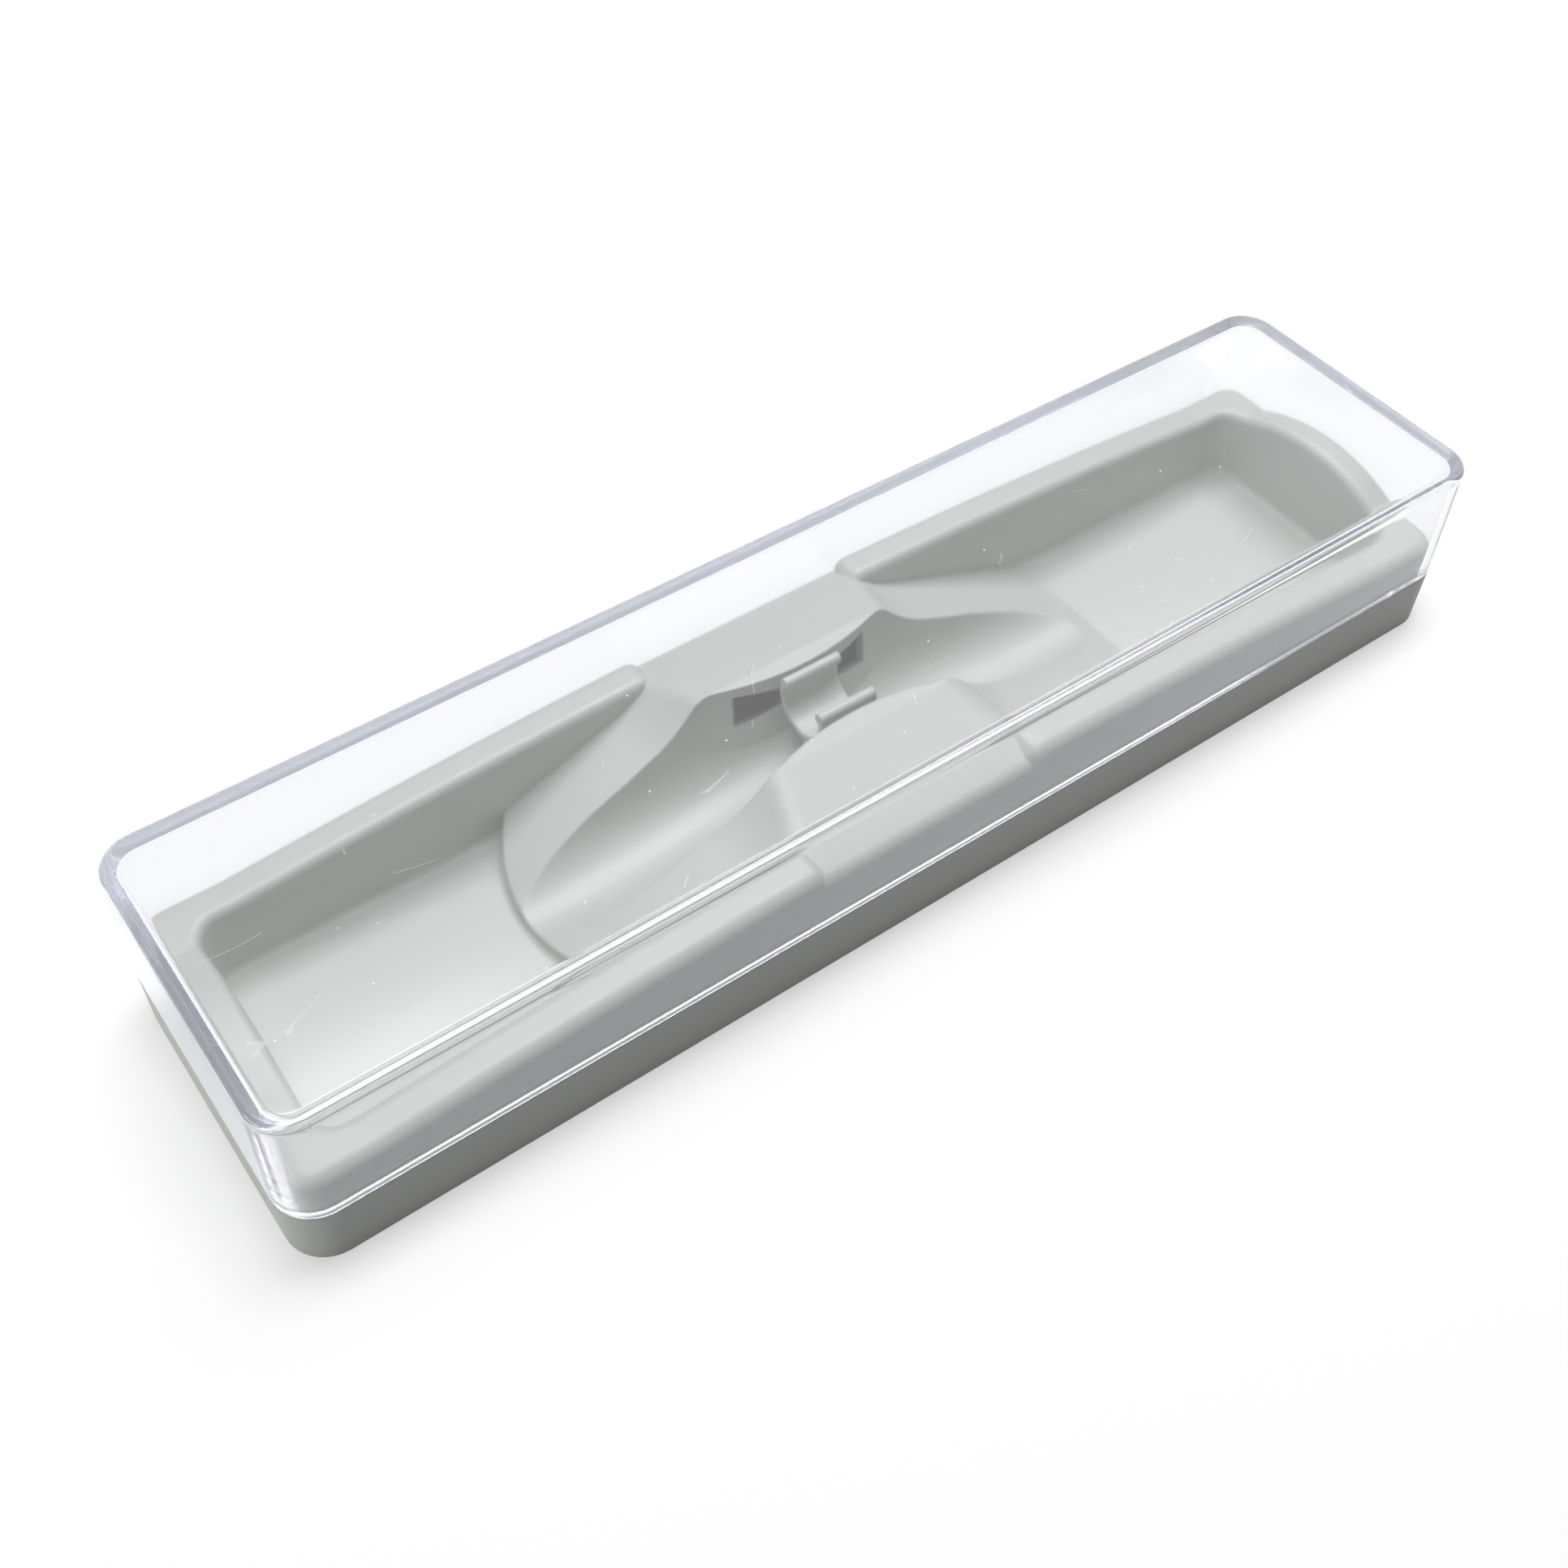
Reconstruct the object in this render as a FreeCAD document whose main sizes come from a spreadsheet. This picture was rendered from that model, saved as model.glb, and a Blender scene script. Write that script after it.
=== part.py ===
import FreeCAD, Part
import math
import os

import Sketcher
from FreeCAD import Vector

# Presentation box for one pen: a moulded base with a sculpted tray and a spring clip,
# and a clear slip-over lid that stands on the ledge round the tray.
# Millimetres, +Z up, X along the box, origin in the middle of the bottom face.
# Heights are measured from the table, "half" sizes from the middle of the box or saddle.

SIZES = [
    ("box_length", 170.0, "outside length of lid and base"),
    ("box_width", 42.4, "outside width of lid and base"),
    ("corner_radius", 5.0, "outside corner of lid and base, seen from above"),
    ("plinth_height", 8.4, "height of the ledge that carries the lid"),
    ("shell_wall", 1.3, "wall of the moulding, which is hollow underneath"),
    ("lid_height", 17.0, "outside height of the lid"),
    ("lid_wall", 1.8, "side wall of the lid at its rim"),
    ("lid_top", 1.7, "thickness of the top of the lid"),
    ("lid_draft", 1.3, "draft of the outside of the lid, degrees"),
    ("lid_inside_draft", 0.5, "draft of the inside of the lid, degrees"),
    ("lid_edge", 0.8, "rounding of the top edge of the lid"),
    ("lid_gap", 0.2, "clearance between lid and tray at the ledge"),
    ("seat_gap", 0.05, "clearance between rim and ledge"),
    ("side_land", 4.7, "width of the long walls of the tray"),
    ("end_land", 4.7, "width of the end walls of the tray"),
    ("wall_crown", 16.8, "height of the long walls at mid length"),
    ("wall_rise", 3.36, "rise of the long arch along the top of the walls"),
    ("wall_hollow", 12.0, "hollow where the long arch runs out into the corners"),
    ("end_crown", 16.3, "height of the end walls at mid width"),
    ("end_arch", 26.0, "radius of the arch over each end wall"),
    ("notch_radius", 1.5, "hollow where the end arch meets the corner of the tray"),
    ("outer_edge", 1.6, "rounding of the outer top edge of the tray"),
    ("inner_edge", 1.2, "rounding of the inner top edge of the tray"),
    ("well_floor", 3.2, "height of the floor of the wells"),
    ("well_corner", 3.0, "corner of the wells, seen from above"),
    ("floor_round", 1.0, "rounding between floor and walls of the wells"),
    ("saddle_offset", -3.9, "place of the saddle along the box"),
    ("saddle_half", 14.7, "half length of the gap that the saddle fills in the long walls"),
    ("wall_end_radius", 1.9, "rounding of the walls where they step down to the saddle"),
    ("land_bury", 2.2, "how far the saddle runs into the rounded wall ends"),
    ("cap_height", 18.8, "height of the flat cap of the saddle"),
    ("cap_half", 7.0, "half width of the flat cap, out to its crease"),
    ("land_slope", 18.0, "fall of the saddle from the crease to the side, degrees"),
    ("ramp_top_half", 13.4, "where the cap turns down into the ramp"),
    ("ramp_knee_half", 21.0, "where the hollow of the ramp runs out into a straight slope"),
    ("ramp_knee_height", 12.8, "height of the ramp at that place"),
    ("ramp_slope", 21.8, "fall of the straight slope, degrees"),
    ("land_round", 3.5, "rounding where the saddle turns down into a ramp"),
    ("left_foot", 41.8, "reach of the foot of the left ramp"),
    ("left_bow", 7.85, "how far that foot bows out across the tray"),
    ("right_foot", 44.6, "reach of the foot of the right ramp, which runs out lower"),
    ("right_bow", 3.27, "how far that foot bows out across the tray"),
    ("foot_round", 0.8, "hollow between the foot and the floor of the well"),
    ("trough_waist", 4.7, "half width of the trough at the clip, at cap height"),
    ("waist_radius", 36.6, "bow of the trough sides beside the clip"),
    ("flare_angle", 18.3, "how far the sides turn before they run straight, degrees"),
    ("flare_radius", 12.0, "bend from the bowed to the straight sides"),
    ("trough_draft", 6.0, "lean of the sides of the trough, degrees"),
    ("trough_low", 4.2, "height of the lowest line of the trough"),
    ("trough_low_half", 38.0, "where the trough is lowest"),
    ("trough_arch", 150.0, "radius of the trough bottom, seen from the side"),
    ("trough_round", 6.3, "radius of the round bottom of the trough"),
    ("window_half", 9.6, "half length of the openings beside the clip"),
    ("window_radius", 2.7, "radius of the round cut that makes those openings"),
    ("window_axis", 6.95, "distance of that cut's axis from the middle"),
    ("window_height", 15.1, "height of that cut's axis"),
    ("clip_length", 8.0, "length of the clip"),
    ("clip_radius", 4.1, "outside radius of the clip"),
    ("clip_sheet", 0.65, "thickness of the clip's spring wall"),
    ("clip_centre", 17.1, "height of the pen's axis in the clip"),
    ("clip_arm", 1.5, "how far the clip's arms rise above the pen's axis"),
    ("bead_radius", 0.7, "rolled lip at the end of each arm"),
    ("stem_length", 4.5, "length of the post under the clip"),
    ("stem_width", 3.0, "width of the post under the clip"),
    ("margin", 2.0, "how far cutting shapes pass the face they cut"),
]

doc = FreeCAD.newDocument("PenBox")
sheet = doc.addObject("Spreadsheet::Sheet", "Sizes")
for row, (alias, number, note) in enumerate(SIZES, start=1):
    sheet.set(f"A{row}", alias)
    sheet.set(f"B{row}", str(number))
    sheet.set(f"C{row}", note)
    sheet.setAlias(f"B{row}", alias)
doc.recompute()


def size(alias):
    """Expression that reads one driving size from the sheet."""
    return f"Sizes.{alias}"


def tangent(alias):
    """Expression for the tangent of an angle that the sheet keeps in degrees."""
    return f"tan(Sizes.{alias} * 1 deg)"


# Places that several features share, as expressions over the sheet.
TRAY_X = "(Sizes.box_length / 2 - Sizes.lid_wall - Sizes.lid_gap)"
TRAY_Y = "(Sizes.box_width / 2 - Sizes.lid_wall - Sizes.lid_gap)"
TRAY_CORNER = "(Sizes.corner_radius - Sizes.lid_wall - Sizes.lid_gap)"
WELL_X = f"({TRAY_X} - Sizes.end_land)"
WELL_Y = f"({TRAY_Y} - Sizes.side_land)"
CORE_Y = f"(({TRAY_Y} + {WELL_Y}) / 2)"
CUT_TOP = "(Sizes.cap_height + Sizes.margin)"
ARCH_END = f"({WELL_X} - Sizes.well_corner - Sizes.margin)"
WALL_ARCH = f"(({ARCH_END} ^ 2 + Sizes.wall_rise ^ 2) / (2 * Sizes.wall_rise))"
ARCH_CENTRE = f"(Sizes.wall_crown - {WALL_ARCH})"
CORNER_LAND = "(Sizes.wall_crown - Sizes.wall_rise)"
HOLLOW_RISE = f"({CORNER_LAND} + Sizes.wall_hollow - {ARCH_CENTRE})"
HOLLOW_X = f"sqrt(({WALL_ARCH} + Sizes.wall_hollow) ^ 2 - {HOLLOW_RISE} ^ 2)"
END_CENTRE = "(Sizes.end_crown - Sizes.end_arch)"
SADDLE = size("saddle_offset")
OUTSIDE = "0"
INSIDE = size("shell_wall")
TOLERANCE = 0.01


def plane(body, role):
    return next(item for item in body.Origin.OriginFeatures if item.Role == role)


def number(holder, expression):
    """Value of an expression over the sheet, in millimetres or degrees."""
    result = holder.evalExpression(expression)
    return float(getattr(result, "Value", result))


def outline(body, name, role, offset, points, lift="0"):
    """Closed sketch on an origin plane of the body, moved along its normal by offset.

    The sketch's own origin can be lifted, so that a shape can be swung about it.

    Each point is (x, y) at the end of a straight run or (x, y, radius, turn) at the end
    of an arc, where turn is 1 for an arc that bends to the left and -1 to the right.
    Every point and radius is bound to its expression.
    """
    sketch = body.newObject("Sketcher::SketchObject", name)
    sketch.AttachmentSupport = [(plane(body, role), "")]
    sketch.MapMode = "FlatFace"
    sketch.setExpression(".AttachmentOffset.Base.z", offset)
    sketch.setExpression(".AttachmentOffset.Base.y", lift)
    doc.recompute()
    places = [Vector(number(sketch, point[0]), number(sketch, point[1]), 0) for point in points]
    for index, point in enumerate(points):
        start = places[index - 1]
        end = places[index]
        if len(point) == 2:
            sketch.addGeometry(Part.LineSegment(start, end))
            continue
        radius = number(sketch, point[2])
        chord = end - start
        rise = math.sqrt(max(radius ** 2 - (chord.Length / 2) ** 2, 0.0))
        centre = (start + end) * 0.5 + Vector(-chord.y, chord.x, 0).normalize() * rise * point[3]
        angles = [math.atan2(place.y - centre.y, place.x - centre.x) for place in (start, end)]
        circle = Part.Circle(centre, Vector(0, 0, 1), radius)
        sketch.addGeometry(Part.ArcOfCircle(circle, *(angles if point[3] > 0 else angles[::-1])))
    last = [1 if len(point) == 4 and point[3] < 0 else 2 for point in points]
    first = [3 - vertex for vertex in last]
    for index, point in enumerate(points):
        after = (index + 1) % len(points)
        sketch.addConstraint(Sketcher.Constraint("Coincident", index, last[index], after, first[after]))
        for kind, expression, value in (
            ("DistanceX", point[0], places[index].x),
            ("DistanceY", point[1], places[index].y),
        ):
            bound = sketch.addConstraint(Sketcher.Constraint(kind, -1, 1, index, last[index], value))
            sketch.setExpression(f"Constraints[{bound}]", expression)
        if len(point) == 4:
            bound = sketch.addConstraint(Sketcher.Constraint("Radius", index, number(sketch, point[2])))
            sketch.setExpression(f"Constraints[{bound}]", point[2])
    doc.recompute()
    return sketch


def swept(body, kind, name, sketch, length, draft=None, side="One side", reverse=False):
    """Pad or Pocket of a sketch, with its length and draft bound to the sheet."""
    feature = body.newObject(f"PartDesign::{kind}", name)
    feature.Profile = sketch
    feature.setExpression("Length", length)
    if draft:
        feature.setExpression("TaperAngle", draft)
    feature.SideType = side
    feature.Reversed = reverse
    sketch.Visibility = False
    doc.recompute()
    return feature


def rounded_rectangle(half_x, half_y, radius):
    """Points of a rectangle with round corners about the origin."""
    return [
        (half_x, f"{half_y} - {radius}"),
        (f"{half_x} - {radius}", half_y, radius, 1),
        (f"-{half_x} + {radius}", half_y),
        (f"-{half_x}", f"{half_y} - {radius}", radius, 1),
        (f"-{half_x}", f"-{half_y} + {radius}"),
        (f"-{half_x} + {radius}", f"-{half_y}", radius, 1),
        (f"{half_x} - {radius}", f"-{half_y}"),
        (half_x, f"-{half_y} + {radius}", radius, 1),
    ]


def edges_where(feature, wanted):
    """Names of the edges of a feature whose middle and both neighbour normals pass a test."""
    names = []
    for index, edge in enumerate(feature.Shape.Edges, start=1):
        first, last = edge.ParameterRange
        middle = edge.valueAt((first + last) / 2)
        normals = []
        for face in feature.Shape.ancestorsOfType(edge, Part.Face):
            u, v = face.Surface.parameter(middle)
            normals.append(face.normalAt(u, v))
        if len(normals) == 2 and wanted(middle, *sorted(normals, key=lambda normal: abs(normal.z))):
            names.append(f"Edge{index}")
    return names


def fillet(body, name, base, radius, wanted):
    feature = body.newObject("PartDesign::Fillet", name)
    feature.Base = (base, edges_where(base, wanted))
    feature.setExpression("Radius", radius)
    doc.recompute()
    return feature


def combine(body, name, kind, tools):
    feature = body.newObject("PartDesign::Boolean", name)
    feature.Type = kind
    feature.setObjects(tools)
    doc.recompute()
    return feature


def cut_gable(body, name, skin):
    """Trim a body to the saddle's cap and its two slopes, lowered by skin."""
    reach = f"({TRAY_Y} + Sizes.margin)"
    crease = f"(Sizes.cap_half - {skin} * tan(Sizes.land_slope * 0.5 deg))"
    ridge = f"(Sizes.cap_height - {skin})"
    eaves = f"({ridge} - ({reach} - {crease}) * {tangent('land_slope')})"
    sketch = outline(body, f"{name}Profile", "YZ_Plane", "0", [
        (f"-{reach}", eaves),
        (f"-{crease}", ridge),
        (crease, ridge),
        (reach, eaves),
        (reach, CUT_TOP),
        (f"-{reach}", CUT_TOP),
    ])
    return swept(body, "Pocket", name, sketch, "Sizes.box_length", side="Symmetric")


def foot_side(name, skin):
    """Where the bowed foot of a ramp meets the edge of its block, and the radius of the bow."""
    bow = f"(({CORE_Y} ^ 2 + Sizes.{name}_bow ^ 2) / (2 * Sizes.{name}_bow))"
    radius = f"({bow} - {skin})"
    return f"(Sizes.{name}_foot - {bow} + sqrt({radius} ^ 2 - {CORE_Y} ^ 2))", radius


def foot_edge(middle, side, floor):
    return abs(side.x) > 0.9 and floor.z > 0.9 and middle.z < number(sheet, "Sizes.well_floor") + TOLERANCE


def ramp_crest(middle, side, top):
    return abs(side.x) > 0.6 and side.z > 0.1 and top.z > 0.9 and abs(top.x) < 0.1


def eaves(body, prefix, skin, lower):
    """Strips that carry the saddle out to both sides of the tray, with a round outer edge."""
    round_y = f"({TRAY_Y} - Sizes.outer_edge)"
    fall = tangent("land_slope")
    steep = "cos(Sizes.land_slope * 1 deg)"
    round_z = f"(Sizes.cap_height - ({round_y} - Sizes.cap_half) * {fall} - Sizes.outer_edge / {steep})"
    radius = f"(Sizes.outer_edge - {skin})"
    meet_y = f"({round_y} + {radius} * sin(Sizes.land_slope * 1 deg))"
    meet_z = f"{round_z} + {radius} * {steep}"
    core_z = f"Sizes.cap_height - ({CORE_Y} - Sizes.cap_half) * {fall} - {skin} / {steep}"
    length = f"2 * (Sizes.saddle_half + Sizes.land_bury + {skin})"
    for sign, turn, name in (("", 1, "Back"), ("-", -1, "Front")):
        strip = outline(body, f"{prefix}{name}EavesProfile", "YZ_Plane", SADDLE, [
            (f"{sign}{CORE_Y}", f"-{lower}"),
            (f"{sign}({TRAY_Y} - {skin})", f"-{lower}"),
            (f"{sign}({TRAY_Y} - {skin})", round_z),
            (f"{sign}{meet_y}", meet_z, radius, turn),
            (f"{sign}{CORE_Y}", core_z),
        ])
        swept(body, "Pad", f"{prefix}{name}Eaves", strip, length, side="Symmetric")


def saddle(prefix, skin, lower):
    """The saddle, which fills the gap in the walls, with a ramp down into each well."""
    body = doc.addObject("PartDesign::Body", f"{prefix}SaddleForm")
    (left, left_bow), (right, right_bow) = (foot_side(name, skin) for name in ("left", "right"))
    plan = outline(body, f"{prefix}FootPlan", "XY_Plane", f"-{lower}", [
        (f"{SADDLE} + {right}", CORE_Y, right_bow, 1),
        (f"{SADDLE} - {left}", CORE_Y),
        (f"{SADDLE} - {left}", f"-{CORE_Y}", left_bow, 1),
        (f"{SADDLE} + {right}", f"-{CORE_Y}"),
    ])
    swept(body, "Pad", f"{prefix}FootBlock", plan, f"{CUT_TOP} + {lower}")
    if skin == OUTSIDE:
        skirt = outline(body, f"{prefix}SkirtPlan", "XY_Plane", "0", [
            (f"{SADDLE} + Sizes.right_foot + Sizes.margin", CORE_Y),
            (f"{SADDLE} - Sizes.left_foot - Sizes.margin", CORE_Y),
            (f"{SADDLE} - Sizes.left_foot - Sizes.margin", f"-{CORE_Y}"),
            (f"{SADDLE} + Sizes.right_foot + Sizes.margin", f"-{CORE_Y}"),
        ])
        skirt = swept(body, "Pad", f"{prefix}Skirt", skirt, "Sizes.well_floor")
        fillet(body, f"{prefix}FootRound", skirt, "Sizes.foot_round", foot_edge)
    slope_x = "cos(Sizes.ramp_slope * 1 deg)"
    slope_z = "sin(Sizes.ramp_slope * 1 deg)"
    run = "(Sizes.ramp_knee_half - Sizes.ramp_top_half)"
    drop = "(Sizes.cap_height - Sizes.ramp_knee_height)"
    bend = f"(({run} ^ 2 + {drop} ^ 2) / (2 * ({drop} * {slope_x} - {run} * {slope_z})))"
    bend_x = f"(Sizes.ramp_knee_half + {bend} * {slope_z})"
    bend_z = f"(Sizes.ramp_knee_height + {bend} * {slope_x})"
    grown = f"(1 + {skin} / {bend})"
    top_x = f"({bend_x} - ({bend_x} - Sizes.ramp_top_half) * {grown})"
    top_z = f"({bend_z} - ({bend_z} - Sizes.cap_height) * {grown})"
    low_x = f"(Sizes.ramp_knee_half - {skin} * {slope_z})"
    low_z = f"(Sizes.ramp_knee_height - {skin} * {slope_x})"
    for sign, turn, name in (("+", 1, "Right"), ("-", -1, "Left")):
        far_x = f"(Sizes.{name.lower()}_foot + Sizes.margin)"
        far_z = f"({low_z} - ({far_x} - {low_x}) * {tangent('ramp_slope')})"
        ramp = outline(body, f"{prefix}{name}Ramp", "XZ_Plane", "0", [
            (f"{SADDLE} {sign} {top_x}", CUT_TOP),
            (f"{SADDLE} {sign} {top_x}", top_z),
            (f"{SADDLE} {sign} {low_x}", low_z, f"({bend} + {skin})", turn),
            (f"{SADDLE} {sign} {far_x}", far_z),
            (f"{SADDLE} {sign} {far_x}", CUT_TOP),
        ])
        swept(body, "Pocket", f"{prefix}{name}Slope", ramp, "Sizes.box_width", side="Symmetric")
    gable = cut_gable(body, f"{prefix}Gable", skin)
    if skin == OUTSIDE:
        fillet(body, f"{prefix}LandRound", gable, "Sizes.land_round", ramp_crest)
    eaves(body, prefix, skin, lower)
    return body


def trough(prefix, skin):
    """The channel for the pen: its plan, its bottom line and the round between them."""
    body = doc.addObject("PartDesign::Body", f"{prefix}Trough")
    turn = "Sizes.flare_angle * 1 deg"
    lean = f"(Sizes.margin * {tangent('trough_draft')} + {skin})"
    waist = f"(Sizes.trough_waist + {lean})"
    bow = f"(Sizes.waist_radius - {lean})"
    flare = f"(Sizes.flare_radius + {lean})"
    bow_x = f"({bow} * sin({turn}))"
    bow_y = f"({waist} + {bow} * (1 - cos({turn})))"
    flare_x = f"({bow_x} + {flare} * sin({turn}))"
    flare_y = f"({bow_y} + {flare} * (1 - cos({turn})))"
    left, right = (f"(Sizes.{name}_foot + Sizes.margin + {skin})" for name in ("left", "right"))
    plan = outline(body, f"{prefix}TroughPlan", "XY_Plane", CUT_TOP, [
        (f"{SADDLE} + {right}", flare_y),
        (f"{SADDLE} + {flare_x}", flare_y),
        (f"{SADDLE} + {bow_x}", bow_y, flare, 1),
        (f"{SADDLE} - {bow_x}", bow_y, bow, -1),
        (f"{SADDLE} - {flare_x}", flare_y, flare, 1),
        (f"{SADDLE} - {left}", flare_y),
        (f"{SADDLE} - {left}", f"-{flare_y}"),
        (f"{SADDLE} - {flare_x}", f"-{flare_y}"),
        (f"{SADDLE} - {bow_x}", f"-{bow_y}", flare, 1),
        (f"{SADDLE} + {bow_x}", f"-{bow_y}", bow, -1),
        (f"{SADDLE} + {flare_x}", f"-{flare_y}", flare, 1),
        (f"{SADDLE} + {right}", f"-{flare_y}"),
    ])
    swept(body, "Pad", f"{prefix}TroughBlock", plan, CUT_TOP, draft="-Sizes.trough_draft", reverse=True)
    combine(body, f"{prefix}TroughFloor", "Common", [tube(prefix, skin)])
    return body


def tube(prefix, skin):
    """Round bottom of the trough: a U swung along an arc on each side of the saddle.

    The hollow underneath has flats round that U, which leave the wall no thinner.
    """
    body = doc.addObject("PartDesign::Body", f"{prefix}Tube")
    axis_z = "(Sizes.trough_low + Sizes.trough_arch)"
    centre = "(Sizes.trough_round - Sizes.trough_arch)"
    radius = f"(Sizes.trough_round + {skin})"
    top = f"({CUT_TOP} - {axis_z})"
    lowest = f"({centre} - {radius})"
    flat = f"({radius} * tan(22.5 deg))"
    if skin == OUTSIDE:
        bottom = [(f"-{radius}", centre), ("0", lowest, radius, 1), (radius, centre, radius, 1)]
    else:
        bottom = [
            (f"-{radius}", f"{centre} - {flat}"),
            (f"-{flat}", lowest),
            (flat, lowest),
            (radius, f"{centre} - {flat}"),
        ]
    for sign, name in (("+", "Right"), ("-", "Left")):
        sketch = outline(body, f"{prefix}{name}TubeProfile", "YZ_Plane",
                         f"{SADDLE} {sign} Sizes.trough_low_half", bottom + [
            (f"{radius} + Sizes.margin", top),
            (f"-{radius} - Sizes.margin", top),
        ], axis_z)
        swing = body.newObject("PartDesign::Revolution", f"{prefix}{name}Tube")
        swing.Profile = sketch
        swing.ReferenceAxis = (sketch, ["H_Axis"])
        swing.Midplane = True
        swing.setExpression("Angle", f"2 * asin(Sizes.trough_low_half / -{top}) + 2 deg")
        sketch.Visibility = False
        doc.recompute()
    return body


def moulding(prefix, skin, lower):
    """Solid form of the base, with every face moved inwards by skin.

    The base is the form with no skin taken off, hollowed by the same form one wall smaller.
    """
    body = doc.addObject("PartDesign::Body", f"{prefix}Form")
    plinth = outline(body, f"{prefix}PlinthPlan", "XY_Plane", f"-{lower}", rounded_rectangle(
        f"(Sizes.box_length / 2 - {skin})",
        f"(Sizes.box_width / 2 - {skin})",
        f"(Sizes.corner_radius - {skin})",
    ))
    swept(body, "Pad", f"{prefix}Plinth", plinth, f"Sizes.plinth_height - {skin} + {lower}")
    tray = outline(body, f"{prefix}TrayPlan", "XY_Plane", f"-{lower}", rounded_rectangle(
        f"({TRAY_X} - {skin})",
        f"({TRAY_Y} - {skin})",
        f"({TRAY_CORNER} - {skin})",
    ))
    swept(body, "Pad", f"{prefix}Tray", tray, f"{CUT_TOP} + {lower}")
    wall_tops(body, prefix, skin)
    end_tops(body, prefix, skin)
    wells = outline(body, f"{prefix}WellPlan", "XY_Plane", CUT_TOP, rounded_rectangle(
        f"({WELL_X} + {skin})",
        f"({WELL_Y} + {skin})",
        f"(Sizes.well_corner + {skin})",
    ))
    depth = f"{CUT_TOP} - Sizes.well_floor + {skin}"
    shaped = swept(body, "Pocket", f"{prefix}Wells", wells, depth)
    if skin == OUTSIDE:
        shaped = fillet(body, f"{prefix}FloorRound", shaped, "Sizes.floor_round", floor_edge)
        shaped = fillet(body, f"{prefix}OuterEdge", shaped, "Sizes.outer_edge", outer_rim)
        shaped = fillet(body, f"{prefix}InnerEdge", shaped, "Sizes.inner_edge", inner_rim)
    combine(body, f"{prefix}Saddle", "Fuse", [saddle(prefix, skin, lower)])
    combine(body, f"{prefix}Channel", "Cut", [trough(prefix, skin)])
    return body


def floor_edge(middle, side, floor):
    return floor.z > 0.9 and middle.z < number(sheet, "Sizes.well_floor") + TOLERANCE


def outer_rim(middle, side, top):
    beyond = max(abs(middle.x) - number(sheet, TRAY_X), abs(middle.y) - number(sheet, TRAY_Y))
    above_ledge = middle.z > number(sheet, "Sizes.plinth_height") + TOLERANCE
    upright = abs(side.z) < 0.1 < abs(top.y) + abs(top.z)
    return beyond > -1 and above_ledge and upright and top.z > -0.05 and not smooth(side, top)


def inner_rim(middle, side, top):
    inside = min(number(sheet, WELL_X) - abs(middle.x), number(sheet, WELL_Y) - abs(middle.y))
    above_floor = middle.z > number(sheet, "Sizes.well_floor + Sizes.floor_round") + TOLERANCE
    return -1.5 < inside < number(sheet, "Sizes.well_corner") and above_floor and not smooth(side, top)


def smooth(first, second):
    """Whether two faces run into each other with hardly any crease."""
    return first.dot(second) > 0.9


def wall_tops(body, prefix, skin):
    """Arch of the long walls, with the gap in which the saddle lies."""
    arch = f"({WALL_ARCH} - {skin})"
    round_ = f"(Sizes.wall_end_radius - {skin})"
    grown = f"({arch} / ({WALL_ARCH} + Sizes.wall_hollow))"
    meet_x = f"({HOLLOW_X} * {grown})"
    meet_z = f"({ARCH_CENTRE} + {HOLLOW_RISE} * {grown})"
    hollow_radius = f"(Sizes.wall_hollow + {skin})"
    land_z = f"({CORNER_LAND} - {skin})"
    gap_low = f"(Sizes.plinth_height + Sizes.margin - {skin})"
    hollow = f"(Sizes.margin / 2 + {skin})"
    points = [(f"-{HOLLOW_X}", CUT_TOP), (f"-{HOLLOW_X}", land_z), (f"-{meet_x}", meet_z, hollow_radius, 1)]
    for sign in ("-", "+"):
        centre_x = f"({SADDLE} {sign} (Sizes.saddle_half + Sizes.wall_end_radius))"
        centre_z = f"({ARCH_CENTRE} + sqrt(({WALL_ARCH} - Sizes.wall_end_radius) ^ 2 - {centre_x} ^ 2))"
        face_x = f"({SADDLE} {sign} (Sizes.saddle_half + {skin}))"
        grown = f"({arch} / ({WALL_ARCH} - Sizes.wall_end_radius))"
        meet = (f"{centre_x} * {grown}", f"{ARCH_CENTRE} + ({centre_z} - {ARCH_CENTRE}) * {grown}")
        face = (face_x, centre_z)
        low = (face_x, f"{gap_low} + {hollow}")
        foot = (f"{face_x} {'+' if sign == '-' else '-'} {hollow}", gap_low)
        if sign == "-":
            points += [(*meet, arch, -1), (*face, round_, -1), low, (*foot, hollow, 1)]
        else:
            points += [foot, (*low, hollow, 1), face, (*meet, round_, -1)]
    points += [(meet_x, meet_z, arch, -1), (HOLLOW_X, land_z, hollow_radius, 1), (HOLLOW_X, CUT_TOP)]
    sketch = outline(body, f"{prefix}WallProfile", "XZ_Plane", "0", points)
    swept(body, "Pocket", f"{prefix}WallTops", sketch, "Sizes.box_width", side="Symmetric")


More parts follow.
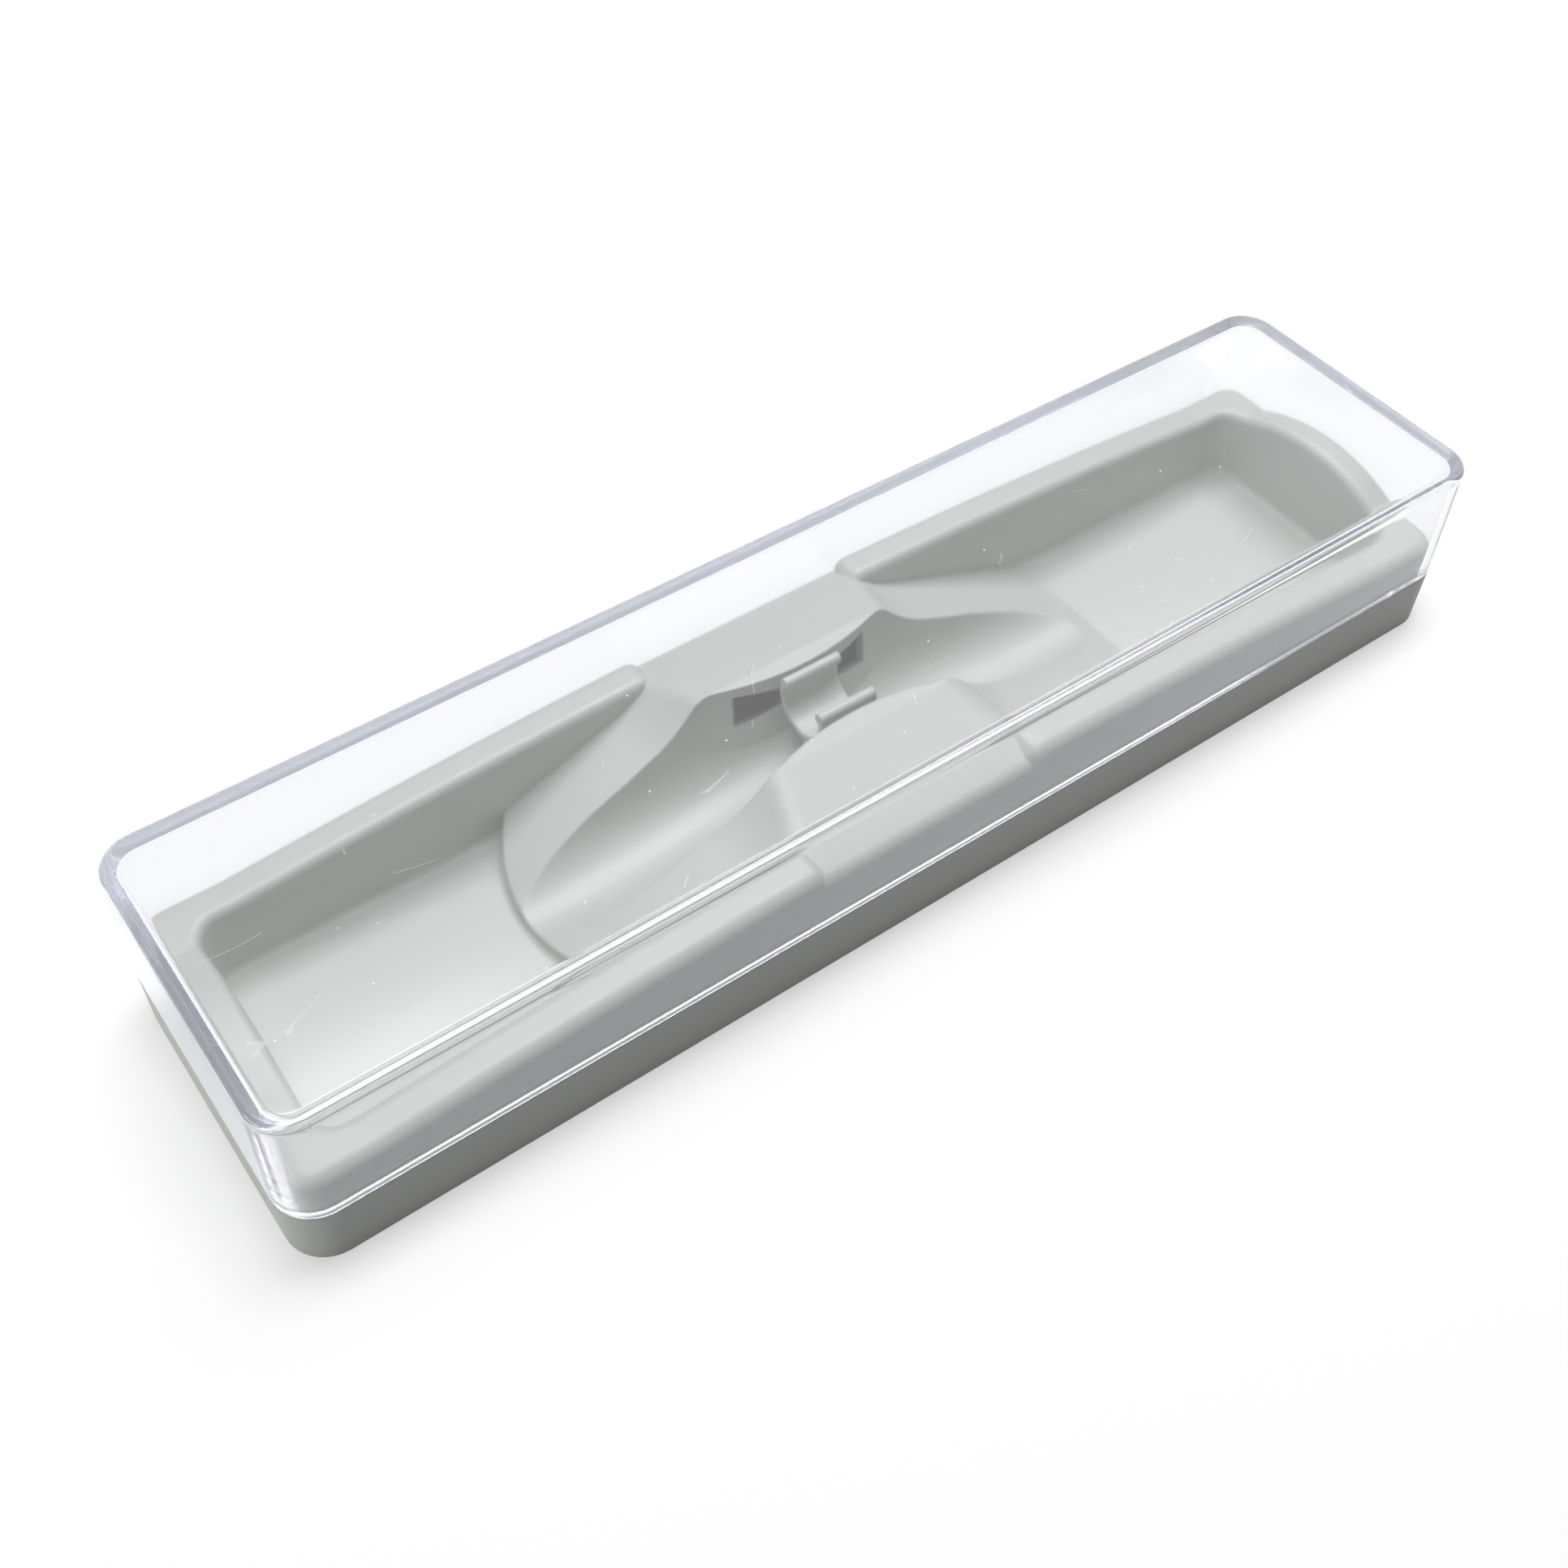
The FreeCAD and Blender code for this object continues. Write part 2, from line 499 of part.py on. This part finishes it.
def end_tops(body, prefix, skin):
    """Arch over each end wall, which runs out in a hollow at the corners of the tray."""
    arch = f"(Sizes.end_arch - {skin})"
    notch = f"(Sizes.notch_radius + {skin})"
    both = "(Sizes.end_arch + Sizes.notch_radius)"
    rise = f"({CORNER_LAND} + Sizes.notch_radius - {END_CENTRE})"
    notch_y = f"sqrt({both} ^ 2 - {rise} ^ 2)"
    meet_y = f"({notch_y} * {arch} / {both})"
    meet_z = f"({END_CENTRE} + {rise} * {arch} / {both})"
    land_z = f"({CORNER_LAND} - {skin})"
    reach = "(Sizes.box_width / 2)"
    for sign, name in (("", "Right"), ("-", "Left")):
        sketch = outline(body, f"{prefix}{name}EndProfile", "YZ_Plane", f"{sign}{HOLLOW_X}", [
            (f"-{reach}", land_z),
            (f"-{notch_y}", land_z),
            (f"-{meet_y}", meet_z, notch, 1),
            (meet_y, meet_z, arch, -1),
            (notch_y, land_z, notch, 1),
            (reach, land_z),
            (reach, CUT_TOP),
            (f"-{reach}", CUT_TOP),
        ])
        reach_x = "Sizes.end_land + Sizes.well_corner + 2 * Sizes.margin"
        swept(body, "Pocket", f"{prefix}{name}End", sketch, reach_x, reverse=sign == "")


def windows(body):
    """Round cuts along both sides of the trough, which break through where it widens.

    They leave a bow-tie opening on each side, and room for the clip's arms to spring out.
    """
    centre_y = size("window_axis")
    centre_z = size("window_height")
    radius = size("window_radius")
    for sign, name in (("", "Back"), ("-", "Front")):
        sketch = outline(body, f"{name}WindowProfile", "YZ_Plane", SADDLE, [
            (f"{sign}{centre_y} + {radius}", centre_z, radius, 1),
            (f"{sign}{centre_y}", f"{centre_z} + {radius}", radius, 1),
            (f"{sign}{centre_y} - {radius}", centre_z, radius, 1),
            (f"{sign}{centre_y}", f"{centre_z} - {radius}", radius, 1),
        ])
        swept(body, "Pocket", f"{name}Window", sketch, "2 * Sizes.window_half", side="Symmetric")


def clip():
    """Spring clip: a U on a post, with a rolled lip at the end of each arm."""
    body = doc.addObject("PartDesign::Body", "Clip")
    inner = "(Sizes.clip_radius - Sizes.clip_sheet)"
    tip_z = "(Sizes.clip_centre + Sizes.clip_arm)"
    spring = outline(body, "SpringProfile", "YZ_Plane", SADDLE, [
        ("-Sizes.clip_radius", size("clip_centre")),
        ("0", "Sizes.clip_centre - Sizes.clip_radius", size("clip_radius"), 1),
        (size("clip_radius"), size("clip_centre"), size("clip_radius"), 1),
        (size("clip_radius"), tip_z),
        (inner, tip_z),
        (inner, size("clip_centre")),
        ("0", f"Sizes.clip_centre - {inner}", inner, -1),
        (f"-{inner}", size("clip_centre"), inner, -1),
        (f"-{inner}", tip_z),
        ("-Sizes.clip_radius", tip_z),
    ])
    swept(body, "Pad", "Spring", spring, size("clip_length"), side="Symmetric")
    for sign, name in (("", "Back"), ("-", "Front")):
        lip_y = f"(Sizes.clip_radius - Sizes.bead_radius)"
        bead = outline(body, f"{name}LipProfile", "YZ_Plane", SADDLE, [
            (f"{sign}{lip_y} + Sizes.bead_radius", tip_z, size("bead_radius"), 1),
            (f"{sign}{lip_y}", f"{tip_z} + Sizes.bead_radius", size("bead_radius"), 1),
            (f"{sign}{lip_y} - Sizes.bead_radius", tip_z, size("bead_radius"), 1),
            (f"{sign}{lip_y}", f"{tip_z} - Sizes.bead_radius", size("bead_radius"), 1),
        ])
        swept(body, "Pad", f"{name}Lip", bead, size("clip_length"), side="Symmetric")
    half_x = "(Sizes.stem_length / 2)"
    half_y = "(Sizes.stem_width / 2)"
    root = "(Sizes.trough_low)"
    stem = outline(body, "StemPlan", "XY_Plane", root, [
        (f"{SADDLE} + {half_x}", half_y),
        (f"{SADDLE} - {half_x}", half_y),
        (f"{SADDLE} - {half_x}", f"-{half_y}"),
        (f"{SADDLE} + {half_x}", f"-{half_y}"),
    ])
    height = f"Sizes.clip_centre - Sizes.clip_radius + Sizes.clip_sheet / 2 - {root}"
    swept(body, "Pad", "Stem", stem, height)
    return body


def base():
    """The moulded base: outer form, hollow underneath, with windows and clip."""
    body = moulding("Outer", OUTSIDE, "0")
    body.Label = "base"
    combine(body, "Hollow", "Cut", [moulding("Inner", INSIDE, "Sizes.margin")])
    windows(body)
    combine(body, "ClipOnPost", "Fuse", [clip()])
    return body


def lid():
    """Clear lid: a drafted cap, open below, with even walls."""
    body = doc.addObject("PartDesign::Body", "Lid")
    body.Label = "lid"
    rim = "(Sizes.plinth_height + Sizes.seat_gap)"
    shell = outline(body, "LidPlan", "XY_Plane", rim, rounded_rectangle(
        "(Sizes.box_length / 2)",
        "(Sizes.box_width / 2)",
        size("corner_radius"),
    ))
    block = swept(body, "Pad", "LidBlock", shell, size("lid_height"), draft="-Sizes.lid_draft")
    fillet(body, "LidEdge", block, size("lid_edge"), lid_top_edge)
    room = outline(body, "LidRoom", "XY_Plane", rim, rounded_rectangle(
        "(Sizes.box_length / 2 - Sizes.lid_wall)",
        "(Sizes.box_width / 2 - Sizes.lid_wall)",
        "(Sizes.corner_radius - Sizes.lid_wall)",
    ))
    inside = swept(body, "Pocket", "LidInside", room, "Sizes.lid_height - Sizes.lid_top",
                   draft="-Sizes.lid_inside_draft", reverse=True)
    fillet(body, "LidCeiling", inside, size("lid_edge"), lid_ceiling_edge)
    return body


def lid_top_edge(middle, side, top):
    return top.z > 0.9 and abs(side.z) < 0.2


def lid_ceiling_edge(middle, side, ceiling):
    return ceiling.z < -0.9 and middle.z > number(sheet, "Sizes.plinth_height + Sizes.lid_height / 2")


NODES = [base(), lid()]

if __name__ == "__main__":
    doc.recompute()
    for item in doc.Objects:
        if "Invalid" in item.State or "Error" in item.State:
            raise RuntimeError(f"{item.Label} did not build: {item.State}")
    os.makedirs("parts", exist_ok=True)
    for node in NODES:
        if node.Shape.isNull() or not node.Shape.isValid() or len(node.Shape.Solids) != 1:
            raise RuntimeError(f"{node.Label} is not one sound solid")
        node.Shape.exportStep(f"parts/{node.Label}.step")
        print(node.Label, round(node.Shape.Volume), "mm3", len(node.Shape.Faces), "faces")
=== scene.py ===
"""Looks of the pen box: a grey moulded base with a saddle and spring clip, under a clear slip-over lid."""

import math

import bpy
from mathutils import Matrix, Vector


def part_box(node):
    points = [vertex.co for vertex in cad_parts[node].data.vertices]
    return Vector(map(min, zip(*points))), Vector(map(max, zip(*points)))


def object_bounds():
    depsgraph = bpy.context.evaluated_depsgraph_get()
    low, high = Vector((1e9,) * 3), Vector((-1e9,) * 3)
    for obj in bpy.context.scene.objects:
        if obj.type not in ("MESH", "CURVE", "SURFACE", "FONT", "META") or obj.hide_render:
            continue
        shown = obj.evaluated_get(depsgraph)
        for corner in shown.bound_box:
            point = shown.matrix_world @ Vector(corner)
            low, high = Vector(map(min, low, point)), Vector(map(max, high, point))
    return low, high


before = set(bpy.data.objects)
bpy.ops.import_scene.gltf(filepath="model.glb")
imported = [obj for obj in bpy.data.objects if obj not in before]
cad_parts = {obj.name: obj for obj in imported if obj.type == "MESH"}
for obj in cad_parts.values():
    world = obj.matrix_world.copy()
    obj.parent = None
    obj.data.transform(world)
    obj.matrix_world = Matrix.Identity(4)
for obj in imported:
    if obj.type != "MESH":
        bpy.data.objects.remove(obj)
cad_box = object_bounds()

MM = 0.001

# Both plastics are polystyrene. Colours are linear.
STYRENE_INDEX = 1.58

# Specks, dust and scratches lie where a face's normal points up by more than this.
UPWARD = 0.9

# The grey base: two shades in long streaks, soft edges, and a fine satin grain.
GREY_STYRENE = (0.534, 0.554, 0.516, 1.0)
GREY_STYRENE_PALE = (0.558, 0.575, 0.538, 1.0)
FLOW_STRETCH = (18.0, 60.0, 60.0)
FLOW_DETAIL = 3.0
FLOW_LOW = 0.35
FLOW_HIGH = 0.65
EDGE_ROUND = 0.5 * MM
EDGE_SAMPLES = 8
GRAIN_FINENESS = 2600.0
GRAIN_DETAIL = 2.0
GRAIN_LOW = 0.3
GRAIN_HIGH = 0.7
GRAIN_DEPTH = 0.02 * MM
GRAIN_STRENGTH = 0.12
SATIN_GLOSSY = 0.40
SATIN_DULL = 0.50

# Specks of dark dirt in the base.
DARK_SPECK = (0.05, 0.05, 0.05, 1.0)
DIRT_SPACING = 13 * MM
DIRT_SHARE = 0.22
DIRT_RADIUS = 0.16 * MM
DIRT_TURN = 1.3

# The clear lid: its gloss, a thin dull film, and the violet grey that shows in its thickness.
CLEAR_TINT = (0.99, 0.99, 0.995, 1.0)
CLEAR_ROUGHNESS = 0.07
FILM_WEIGHT = 0.08
FILM_ROUGHNESS = 0.2
SHADOW_TINT = (0.93, 0.93, 0.94, 1.0)
VIOLET_GREY = (0.42, 0.46, 0.74, 1.0)
VIOLET_DENSITY = 18.0
RIPPLE_FINENESS = 45.0
RIPPLE_DETAIL = 1.0
RIPPLE_DEPTH = 0.3 * MM
RIPPLE_STRENGTH = 0.02

# The soft edge of the lid's bottom rim, and how far up the lid it reaches.
RIM_ROUND = 0.8 * MM
RIM_BAND = 2.0 * MM
RIM_SAMPLES = 4

# Dust and hair scratches on top of the lid. A hair hides the clear plastic only in part.
DUST_SPACING = 7 * MM
DUST_SHARE = 0.22
DUST_RADIUS = 0.11 * MM
DUST_TURN = 2.1
HAIR_SPACING = 16 * MM
HAIR_WIDTH = 0.08 * MM
HAIR_SHARE = 0.31
HAIR_TURN = 2.6
HAIR_DEPTH = 0.28
HAIR_STRETCH = (0.7, 1.5, 1.0)
HAIR_BREAKS = 3.0
MID_HEIGHT = 0.5

# The sheet of paper under the box. It lights things less than it shows, and turns white between the
# near and the far distance.
PAPER = (0.60, 0.60, 0.60, 1.0)
PAPER_AS_BOUNCE = (0.34, 0.34, 0.34, 1.0)
PAPER_SIZE = 6.0
PAPER_GLOW = 0.44
NEAR_PAPER = 0.20
FAR_PAPER = 0.80
FOOTPRINT_INSET = 2.0 * MM

# The white room, and how strongly it lights things.
WHITE = (1.0, 1.0, 1.0, 1.0)
WHITE_STRENGTH = 1.0
SKY_FOR_DIFFUSE = 0.08

# The soft mirror image of a window.
GLARE_PLACE = (0.06, 0.468, 0.8)
GLARE_SIZE = (0.34, 0.08, 1.0)
GLARE_STRENGTH = 3.2
GLARE_EDGE = 0.5

# The camera: place in metres, lens and sensor in millimetres.
CAMERA_PLACE = Vector((-0.0967, -0.1120, 0.1743))
CAMERA_AZIMUTH = math.radians(-37.769)
CAMERA_ELEVATION = math.radians(49.902)
CAMERA_ROLL = math.radians(2.308)
CAMERA_LENS = 41.58
CAMERA_SENSOR = 36.0
CAMERA_NEAREST = 0.01
CAMERA_FARTHEST = 20.0

# Light runs many times to and fro inside the lid's rims before it comes out.
RAY_BOUNCES = 24


def node(tree, kind, settings=None, **inputs):
    """One shader node.

    Its inputs go by name, with _ for a space, or as i0, i1 and so on. Each is a value or a socket to join.
    """
    made = tree.nodes.new("ShaderNode" + kind)
    for name, value in (settings or {}).items():
        setattr(made, name, value)
    for name, value in inputs.items():
        if name[1:].isdigit():
            socket = made.inputs[int(name[1:])]
        else:
            socket = made.inputs[name.replace("_", " ")]
        if isinstance(value, bpy.types.NodeSocket):
            tree.links.new(value, socket)
        else:
            socket.default_value = value
    return made


def maths(tree, operation, first, second=0.0):
    """The result of one sum on two numbers or sockets."""
    return node(tree, "Math", {"operation": operation}, i0=first, i1=second).outputs[0]


def vector_maths(tree, operation, first, second=(0.0, 0.0, 0.0)):
    """A node for one sum on places, which gives a place or a length."""
    return node(tree, "VectorMath", {"operation": operation}, i0=first, i1=second)


def empty_material(name):
    """A new material with nothing in it, and its node tree."""
    material = bpy.data.materials.new(name)
    material.use_nodes = True
    material.node_tree.nodes.clear()
    return material, material.node_tree


def object_place(tree, scale=(1.0, 1.0, 1.0), turn=0.0):
    """Place on the piece in metres, stretched and turned about the upright for a pattern."""
    place = node(tree, "TexCoord").outputs["Object"]
    return node(tree, "Mapping", Vector=place, Scale=scale, Rotation=(0.0, 0.0, turn)).outputs[0]


def facing_up(tree):
    """1 on outer faces that look up, where dust settles and things rub, and 0 elsewhere."""
    normal = node(tree, "SeparateXYZ", Vector=node(tree, "TexCoord").outputs["Normal"])
    level = maths(tree, "GREATER_THAN", normal.outputs[2], UPWARD)
    inner_side = node(tree, "NewGeometry").outputs["Backfacing"]
    outer_side = maths(tree, "SUBTRACT", 1.0, inner_side)
    return maths(tree, "MULTIPLY", level, outer_side)


def specks(tree, spacing, share, radius, turn):
    """A mask of round specks: cells of that spacing, of which a share holds one speck of that radius."""
    place = object_place(tree, turn=turn)
    cells = node(tree, "TexVoronoi", {"voronoi_dimensions": "2D"}, Vector=place, Scale=1.0 / spacing)
    lot = node(tree, "SeparateColor", Color=cells.outputs["Color"])
    chosen = maths(tree, "LESS_THAN", lot.outputs[0], share)
    near = maths(tree, "LESS_THAN", cells.outputs["Distance"], radius / spacing)
    speck = maths(tree, "MULTIPLY", chosen, near)
    return maths(tree, "MULTIPLY", speck, facing_up(tree))


def scratches(tree, spacing, width, share, turn):
    """A mask of hair scratches: level lines of soft hills that wide, of which short stretches are left."""
    flat = {"noise_dimensions": "2D"}
    place = object_place(tree, HAIR_STRETCH, turn)
    hills = node(tree, "TexNoise", flat, Vector=place, Scale=1.0 / spacing, Detail=0.0)
    height = maths(tree, "SUBTRACT", hills.outputs[0], MID_HEIGHT)
    off_line = maths(tree, "ABSOLUTE", height)
    half_width = 0.5 * width / spacing
    line = maths(tree, "LESS_THAN", off_line, half_width)
    stretches = node(tree, "TexNoise", flat, Vector=place, Scale=HAIR_BREAKS / spacing, Detail=0.0)
    kept = maths(tree, "LESS_THAN", stretches.outputs[0], share)
    scratch = maths(tree, "MULTIPLY", line, kept)
    return maths(tree, "MULTIPLY", scratch, facing_up(tree))


def moulded_styrene():
    """Grey polystyrene with the fine satin of an eroded mould, faint flow shades and a few dark specks."""
    material, tree = empty_material("base_plastic")
    blend = {"data_type": "RGBA"}
    flow = node(tree, "TexNoise", Vector=object_place(tree, FLOW_STRETCH), Scale=1.0, Detail=FLOW_DETAIL)
    shade = node(tree, "MapRange", i0=flow.outputs[0], i1=FLOW_LOW, i2=FLOW_HIGH)
    colour = node(tree, "Mix", blend, i0=shade.outputs[0], i6=GREY_STYRENE, i7=GREY_STYRENE_PALE)
    dirt = specks(tree, DIRT_SPACING, DIRT_SHARE, DIRT_RADIUS, DIRT_TURN)
    spotted = node(tree, "Mix", blend, i0=dirt, i6=colour.outputs[2], i7=DARK_SPECK)
    soft_edges = node(tree, "Bevel", {"samples": EDGE_SAMPLES}, Radius=EDGE_ROUND)
    grain = node(tree, "TexNoise", Vector=object_place(tree), Scale=GRAIN_FINENESS, Detail=GRAIN_DETAIL)
    satin = node(
        tree, "MapRange", i0=grain.outputs[0], i1=GRAIN_LOW, i2=GRAIN_HIGH, i3=SATIN_GLOSSY, i4=SATIN_DULL,
    )
    relief = node(
        tree, "Bump", Height=grain.outputs[0], Strength=GRAIN_STRENGTH, Distance=GRAIN_DEPTH,
        Normal=soft_edges.outputs[0],
    )
    surface = node(
        tree, "BsdfPrincipled", Base_Color=spotted.outputs[2], Roughness=satin.outputs[0], IOR=STYRENE_INDEX,
        Normal=relief.outputs[0],
    )
    node(tree, "OutputMaterial", Surface=surface.outputs[0])
    return material


def clear_styrene():
    """Crystal polystyrene: clear, violet grey in its depth, rippled, with dust and hair scratches on top.

    Light that falls through it on other things goes straight, so that its shadow stays pale.
    """
    material, tree = empty_material("lid_clear")
    dust = specks(tree, DUST_SPACING, DUST_SHARE, DUST_RADIUS, DUST_TURN)
    hairs = scratches(tree, HAIR_SPACING, HAIR_WIDTH, HAIR_SHARE, HAIR_TURN)
    marks = maths(tree, "MAXIMUM", dust, maths(tree, "MULTIPLY", hairs, HAIR_DEPTH))
    unmarked = maths(tree, "SUBTRACT", 1.0, marks)
    ripple = node(tree, "TexNoise", Vector=object_place(tree), Scale=RIPPLE_FINENESS, Detail=RIPPLE_DETAIL)
    soft_edges = node(tree, "Bevel", {"samples": RIM_SAMPLES}, Radius=RIM_ROUND)
    crisp = node(tree, "NewGeometry").outputs["Normal"]
    height = node(tree, "SeparateXYZ", Vector=object_place(tree)).outputs[2]
    lid_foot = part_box("lid")[0][2]
    at_rim = maths(tree, "LESS_THAN", height, lid_foot + RIM_BAND)
    edges = node(tree, "Mix", {"data_type": "VECTOR"}, i0=at_rim, i4=crisp, i5=soft_edges.outputs[0])
    relief = node(
        tree, "Bump", Height=ripple.outputs[0], Strength=RIPPLE_STRENGTH, Distance=RIPPLE_DEPTH,
        Normal=edges.outputs[1],
    )
    glass = node(
        tree, "BsdfPrincipled", Base_Color=CLEAR_TINT, Roughness=CLEAR_ROUGHNESS, IOR=STYRENE_INDEX,
        Transmission_Weight=unmarked, Normal=relief.outputs[0],
        Coat_Weight=FILM_WEIGHT, Coat_Roughness=FILM_ROUGHNESS,
    )
    rays = node(tree, "LightPath")
    falling_light = maths(tree, "MAXIMUM", rays.outputs["Is Shadow Ray"], rays.outputs["Is Diffuse Ray"])
    lets_through = node(tree, "BsdfTransparent", Color=SHADOW_TINT)
    surface = node(tree, "MixShader", i0=falling_light, i1=glass.outputs[0], i2=lets_through.outputs[0])
    depth = node(tree, "VolumeAbsorption", Color=VIOLET_GREY, Density=VIOLET_DENSITY)
    node(tree, "OutputMaterial", Surface=surface.outputs[0], Volume=depth.outputs[0])
    return material


def seen_directly(tree):
    """1 for what the eye meets straight, mirrored or through glass, and 0 for light that falls on things."""
    rays = node(tree, "LightPath")
    direct = maths(tree, "MAXIMUM", rays.outputs["Is Camera Ray"], rays.outputs["Is Glossy Ray"])
    return maths(tree, "MAXIMUM", direct, rays.outputs["Is Transmission Ray"])


def off_the_footprint(tree):
    """0 on the floor inside the hollow base and 1 away from it. The box is centred on the origin."""
    half = cad_box[1] - FOOTPRINT_INSET * Vector((1.0, 1.0, 0.0))
    place = node(tree, "SeparateXYZ", Vector=node(tree, "TexCoord").outputs["Object"])
    along = maths(tree, "GREATER_THAN", maths(tree, "ABSOLUTE", place.outputs[0]), half.x)
    across = maths(tree, "GREATER_THAN", maths(tree, "ABSOLUTE", place.outputs[1]), half.y)
    return maths(tree, "MAXIMUM", along, across)


def white_paper():
    """The white sheet under the box. It looks white to the eye, but not inside the hollow base."""
    material, tree = empty_material("paper")
    direct = seen_directly(tree)
    seen = node(tree, "Mix", {"data_type": "RGBA"}, i0=direct, i6=PAPER_AS_BOUNCE, i7=PAPER)
    matte = node(tree, "BsdfDiffuse", Color=seen.outputs[2])
    shown = maths(tree, "MULTIPLY", direct, off_the_footprint(tree))
    reach = vector_maths(tree, "LENGTH", node(tree, "TexCoord").outputs["Object"]).outputs["Value"]
    white = node(tree, "MapRange", i0=reach, i1=NEAR_PAPER, i2=FAR_PAPER, i3=PAPER_GLOW, i4=WHITE_STRENGTH)
    glow = node(tree, "Emission", Strength=maths(tree, "MULTIPLY", shown, white.outputs[0]))
    surface = node(tree, "AddShader", i0=matte.outputs[0], i1=glow.outputs[0])
    node(tree, "OutputMaterial", Surface=surface.outputs[0])
    return material


def make_floor():
    """The sheet of paper that the box stands on."""
    bpy.ops.object.select_all(action="DESELECT")
    bpy.ops.mesh.primitive_plane_add(size=PAPER_SIZE, location=(0.0, 0.0, 0.0))
    floor = bpy.context.object
    floor.name = "floor"
    floor.data.materials.append(white_paper())


def make_room():
    """The white surroundings. They light the box only a little."""
    world = bpy.data.worlds.new("room")
    bpy.context.scene.world = world
    world.use_nodes = True
    tree = world.node_tree
    tree.nodes.clear()
    strength = node(tree, "MapRange", i0=seen_directly(tree), i3=SKY_FOR_DIFFUSE, i4=WHITE_STRENGTH)
    sky = node(tree, "Background", Color=WHITE, Strength=strength.outputs[0])
    node(tree, "OutputWorld", Surface=sky.outputs[0])


def window_glow():
    """A glow that only gloss shows, full in the middle and fading out towards an oval edge."""
    material, tree = empty_material("glare")
    place = vector_maths(tree, "SUBTRACT", node(tree, "NewGeometry").outputs["Position"], GLARE_PLACE)
    reach = vector_maths(tree, "DIVIDE", place.outputs[0], GLARE_SIZE)
    radius = vector_maths(tree, "LENGTH", reach.outputs[0]).outputs["Value"]
    fading = node(tree, "MapRange", {"interpolation_type": "SMOOTHSTEP"}, i0=radius, i1=GLARE_EDGE, i2=0.0)
    glow = node(tree, "Emission", Strength=GLARE_STRENGTH)
    clear = node(tree, "BsdfTransparent")
    shown = maths(tree, "MULTIPLY", node(tree, "LightPath").outputs["Is Glossy Ray"], fading.outputs[0])
    surface = node(tree, "MixShader", i0=shown, i1=clear.outputs[0], i2=glow.outputs[0])
    node(tree, "OutputMaterial", Surface=surface.outputs[0])
    material.cycles.emission_sampling = "NONE"
    return material


def window_glare():
    """A card high behind the box, seen only in glossy things: the soft mirror image of a far window."""
    bpy.ops.object.select_all(action="DESELECT")
    bpy.ops.mesh.primitive_plane_add(size=1.0, location=GLARE_PLACE)
    card = bpy.context.object
    card.name = "window_glare"
    card.scale = GLARE_SIZE
    card.data.materials.append(window_glow())


def softbox(name, place, aim, width, depth, power):
    """A rectangular lamp. Its place and size are in metres and its power in watts."""
    data = bpy.data.lights.new(name, "AREA")
    data.shape = "RECTANGLE"
    data.size = width
    data.size_y = depth
    data.energy = power
    lamp = bpy.data.objects.new(name, data)
    lamp.location = place
    lamp.rotation_euler = (Vector(aim) - Vector(place)).to_track_quat("-Z", "Y").to_euler()
    bpy.context.scene.collection.objects.link(lamp)


def make_camera():
    """The camera, turned by its azimuth, elevation and roll."""
    data = bpy.data.cameras.new("camera")
    data.lens = CAMERA_LENS
    data.sensor_width = CAMERA_SENSOR
    data.clip_start = CAMERA_NEAREST
    data.clip_end = CAMERA_FARTHEST
    camera = bpy.data.objects.new("camera", data)
    level = math.cos(CAMERA_ELEVATION)
    back = Vector((
        math.sin(CAMERA_AZIMUTH) * level,
        -math.cos(CAMERA_AZIMUTH) * level,
        math.sin(CAMERA_ELEVATION),
    ))
    right = (-back).cross(Vector((0.0, 0.0, 1.0))).normalized()
    up = back.cross(right)
    turned = right * math.cos(CAMERA_ROLL) + up * math.sin(CAMERA_ROLL)
    raised = up * math.cos(CAMERA_ROLL) - right * math.sin(CAMERA_ROLL)
    aim = Matrix((turned, raised, back)).transposed().to_4x4()
    camera.matrix_world = Matrix.Translation(CAMERA_PLACE) @ aim
    bpy.context.scene.collection.objects.link(camera)
    bpy.context.scene.camera = camera


def dress(name, material):
    """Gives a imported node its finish."""
    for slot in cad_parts[name].material_slots:
        slot.material = material


make_floor()
make_room()
softbox("overhead", place=(0.20, 0.17, 0.8), aim=(0.20, 0.17, 0.0), width=0.9, depth=0.5, power=8.0)
softbox("left window", place=(-0.65, 0.0, 0.10), aim=(0.0, 0.0, 0.01), width=0.5, depth=0.18, power=1.3)
window_glare()
make_camera()
dress("base", moulded_styrene())
dress("lid", clear_styrene())

bpy.context.scene.view_settings.view_transform = "Standard"
paths = bpy.context.scene.cycles
paths.max_bounces = RAY_BOUNCES
paths.glossy_bounces = RAY_BOUNCES
paths.transmission_bounces = RAY_BOUNCES
paths.transparent_max_bounces = RAY_BOUNCES
